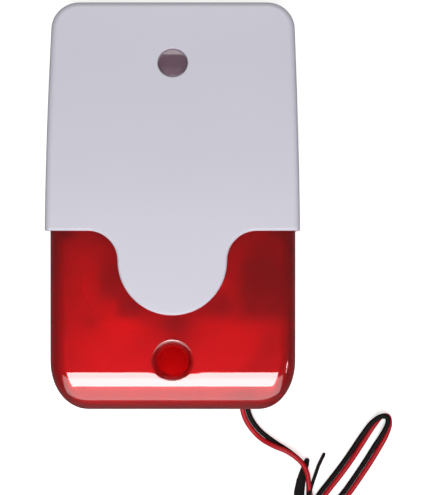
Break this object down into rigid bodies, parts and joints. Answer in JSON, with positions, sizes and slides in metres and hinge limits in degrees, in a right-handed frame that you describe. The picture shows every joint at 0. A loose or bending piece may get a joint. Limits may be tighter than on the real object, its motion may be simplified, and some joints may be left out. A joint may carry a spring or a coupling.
{
  "type": "alarm siren",
  "caption": "Compact wired alarm siren with a strobe: white tray and hood, red lens hinged at the top over a sounder and flash circuit, with red and black flying leads.",
  "frame": {"origin": "centre of the back face, half way up and across the siren without its leads", "axes": "+X to the right seen from the front, +Y towards the top of the siren, +Z out of its front"},
  "size_m": [0.1056, 0.178, 0.043],
  "materials": {
    "white_plastic": "satin",
    "red_lens": "gloss",
    "mauve_window": "gloss",
    "black_plastic": "satin",
    "black_rubber": "matte",
    "circuit_board": "satin",
    "steel": "satin",
    "brass_disc": "satin",
    "piezo_ceramic": "matte",
    "mirror_reflector": "gloss",
    "strobe_glass": "gloss",
    "yellow_tape": "satin",
    "beige_body": "satin",
    "led_resin": "gloss",
    "wire_red": "satin",
    "wire_black": "satin"
  },
  "bodies": {
    "base": {"back_plate": "white_plastic", "sounder_housing": "black_plastic", "sounder_ring": "black_plastic", "flash_capacitor": "black_plastic", "driver_transistor": "black_plastic", "trigger_coil": "black_plastic", "cable_grommet": "black_rubber", "wire_tie": "black_rubber", "circuit_board": "circuit_board", "indicator_board": "circuit_board", "board_screw_1": "steel", "board_screw_2": "steel", "sounder_screw_1": "steel", "sounder_screw_2": "steel", "ring_screw_1": "steel", "ring_screw_2": "steel", "ring_screw_3": "steel", "indicator_screw": "steel", "tube_end_left": "steel", "tube_end_right": "steel", "sounder_diaphragm": "brass_disc", "piezo_disc": "piezo_ceramic", "strobe_reflector": "mirror_reflector", "strobe_tube": "strobe_glass", "transformer": "yellow_tape", "resistor_1": "beige_body", "resistor_2": "beige_body", "resistor_3": "beige_body", "storage_capacitor": "beige_body", "indicator_led": "led_resin", "wire_red": "wire_red", "inner_lead_red": "wire_red", "sounder_lead_red": "wire_red", "wire_hank": "wire_red", "wire_black": "wire_black", "inner_lead_black": "wire_black", "sounder_lead_black": "wire_black", "indicator_cable": "wire_black"},
    "cover": {"lens": "red_lens", "hood": "white_plastic", "indicator_window": "mauve_window", "light_baffle": "black_plastic"},
    "washer": {"screw_washer": "steel"},
    "screw": {"cover_screw": "steel"},
    "cap": {"screw_cap": "red_lens"}
  },
  "joints": [
    {"name": "cover_swing", "type": "hinge", "parent": "base", "child": "cover", "pos_m": [0, 0.0574, 0.0042], "axis": [-1, 0, 0], "range_deg": [0, 80]},
    {"name": "screw_back_out", "type": "slide", "parent": "cover", "child": "washer", "axis": [0, 0, 1], "range_m": [0, 0.0065]},
    {"name": "screw_turn", "type": "hinge", "parent": "washer", "child": "screw", "pos_m": [0, -0.0445, 0.0141], "axis": [0, 0, 1], "range_deg": [0, 2340]},
    {"name": "cap_pull", "type": "slide", "parent": "cover", "child": "cap", "axis": [0, 0, 1], "range_m": [0, 0.009]}
  ],
  "couplings": [
    {"joint": "screw_turn", "follows": "screw_back_out", "rad_per_m": 6283.2}
  ]
}
